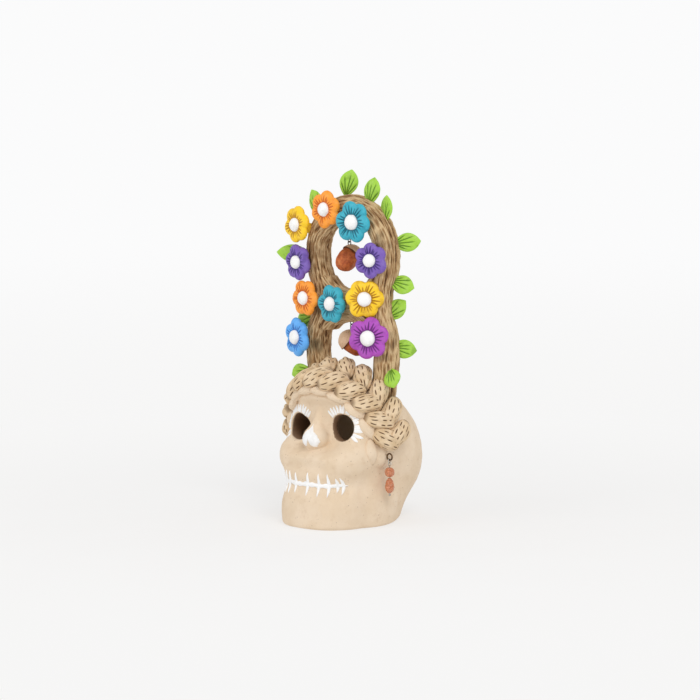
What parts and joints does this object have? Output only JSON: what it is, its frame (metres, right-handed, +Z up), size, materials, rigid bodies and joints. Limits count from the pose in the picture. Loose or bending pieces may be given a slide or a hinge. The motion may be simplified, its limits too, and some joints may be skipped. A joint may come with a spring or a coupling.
{
  "type": "clay skull ornament",
  "caption": "Hollow fired-clay skull on a flat base, with a braided clay crown, a tall double-hoop arch of painted flowers and leaves, hanging acorns and bead earrings.",
  "frame": {"origin": "middle of the flat base, on the surface it stands on", "axes": "+Z up, the face looks along -Y, the skull's own left side is +X"},
  "size_m": [0.1026, 0.0936, 0.2131],
  "materials": {
    "bark_clay": "matt fired clay",
    "bead_glass": "faceted, translucent",
    "blue_paint": "matt paint on fired clay",
    "bronze_wire": "dark aged bronze",
    "clay_braid": "matt fired clay",
    "clay_cap": "matt fired clay",
    "clay_skull": "matt fired clay",
    "dark_wire": "dull annealed wire",
    "green_paint": "matt paint on fired clay",
    "nut_paint": "matt paint on fired clay",
    "orange_paint": "matt paint on fired clay",
    "purple_paint": "matt paint on fired clay",
    "silver_wire": "bright drawn wire",
    "teal_paint": "matt paint on fired clay",
    "violet_paint": "matt paint on fired clay",
    "white_paint": "matt paint on fired clay",
    "yellow_paint": "matt paint on fired clay"
  },
  "bodies": {
    "root": {"arch_coil": "bark_clay", "arch_cross_piece": "bark_clay", "base_slab": "clay_skull", "blue_flower_lower_left_centre": "white_paint", "blue_flower_lower_left_petals": "blue_paint", "braid_lower_row": "clay_braid", "braid_upper_row": "clay_braid", "hairline_roll": "clay_skull", "leaf_left_foot": "green_paint", "leaf_left_shoulder": "green_paint", "leaf_left_upper": "green_paint", "leaf_left_waist": "green_paint", "leaf_right_foot": "green_paint", "leaf_right_lower": "green_paint", "leaf_right_middle": "green_paint", "leaf_right_shoulder": "green_paint", "leaf_right_upper": "green_paint", "leaf_right_waist": "green_paint", "leaf_top": "green_paint", "leaf_top_right": "green_paint", "left_ear_hook": "bronze_wire", "lower_hoop_eye": "dark_wire", "orange_flower_middle_left_centre": "white_paint", "orange_flower_middle_left_petals": "orange_paint", "orange_flower_top_centre": "white_paint", "orange_flower_top_petals": "orange_paint", "purple_flower_left_centre": "white_paint", "purple_flower_left_petals": "purple_paint", "purple_flower_right_centre": "white_paint", "purple_flower_right_petals": "purple_paint", "right_ear_hook": "bronze_wire", "skull_shell": "clay_skull", "teal_flower_middle_centre": "white_paint", "teal_flower_middle_petals": "teal_paint", "teal_flower_top_centre": "white_paint", "teal_flower_top_petals": "teal_paint", "upper_hoop_eye": "dark_wire", "violet_flower_lower_right_centre": "white_paint", "violet_flower_lower_right_petals": "violet_paint", "yellow_flower_middle_right_centre": "white_paint", "yellow_flower_middle_right_petals": "yellow_paint", "yellow_flower_top_left_centre": "white_paint", "yellow_flower_top_left_petals": "yellow_paint"},
    "upper_link": {"upper_wire_link": "dark_wire"},
    "upper_acorn": {"upper_acorn_eye": "dark_wire", "upper_acorn_nut": "nut_paint", "upper_acorn_cap": "clay_cap"},
    "lower_link": {"lower_wire_link": "dark_wire"},
    "lower_acorn": {"lower_acorn_eye": "dark_wire", "lower_acorn_nut": "nut_paint", "lower_acorn_cap": "clay_cap"},
    "left_ring": {"left_jump_ring": "silver_wire"},
    "left_pin": {"left_head_pin": "silver_wire"},
    "left_round": {"left_round_bead": "bead_glass"},
    "left_drop": {"left_drop_bead": "bead_glass"},
    "right_ring": {"right_jump_ring": "silver_wire"},
    "right_pin": {"right_head_pin": "silver_wire"},
    "right_round": {"right_round_bead": "bead_glass"},
    "right_drop": {"right_drop_bead": "bead_glass"}
  },
  "joints": [
    {"name": "upper_link_swing", "type": "hinge", "parent": "root", "child": "upper_link", "pos_m": [-0.0025, 0, 0.18088], "axis": [1, 0, 0], "range_deg": [-18, 18]},
    {"name": "upper_acorn_swing", "type": "hinge", "parent": "upper_link", "child": "upper_acorn", "pos_m": [-0.0025, 0, 0.1693], "axis": [0, 1, 0], "range_deg": [-20, 20]},
    {"name": "lower_link_swing", "type": "hinge", "parent": "root", "child": "lower_link", "pos_m": [-0.0005, 0, 0.11928], "axis": [1, 0, 0], "range_deg": [-12, 12]},
    {"name": "lower_acorn_swing", "type": "hinge", "parent": "lower_link", "child": "lower_acorn", "pos_m": [-0.0005, 0, 0.1176], "axis": [0, 1, 0], "range_deg": [-10, 10]},
    {"name": "left_ring_swing", "type": "hinge", "parent": "root", "child": "left_ring", "pos_m": [0.0378, -0.008, 0.04105], "axis": [1, 0, 0], "range_deg": [-25, 25]},
    {"name": "left_pin_swing", "type": "hinge", "parent": "left_ring", "child": "left_pin", "pos_m": [0.0378, -0.008, 0.03931], "axis": [0, 1, 0], "range_deg": [-30, 2]},
    {"name": "left_round_spin", "type": "hinge", "parent": "left_pin", "child": "left_round", "pos_m": [0.0378, -0.008, 0.0335], "axis": [0, 0, 1], "continuous": true},
    {"name": "left_drop_spin", "type": "hinge", "parent": "left_pin", "child": "left_drop", "pos_m": [0.0378, -0.008, 0.0255], "axis": [0, 0, 1], "continuous": true},
    {"name": "right_ring_swing", "type": "hinge", "parent": "root", "child": "right_ring", "pos_m": [-0.0378, -0.008, 0.04105], "axis": [1, 0, 0], "range_deg": [-25, 25]},
    {"name": "right_pin_swing", "type": "hinge", "parent": "right_ring", "child": "right_pin", "pos_m": [-0.0378, -0.008, 0.03931], "axis": [0, 1, 0], "range_deg": [-2, 30]},
    {"name": "right_round_spin", "type": "hinge", "parent": "right_pin", "child": "right_round", "pos_m": [-0.0378, -0.008, 0.0335], "axis": [0, 0, 1], "continuous": true},
    {"name": "right_drop_spin", "type": "hinge", "parent": "right_pin", "child": "right_drop", "pos_m": [-0.0378, -0.008, 0.0255], "axis": [0, 0, 1], "continuous": true}
  ]
}
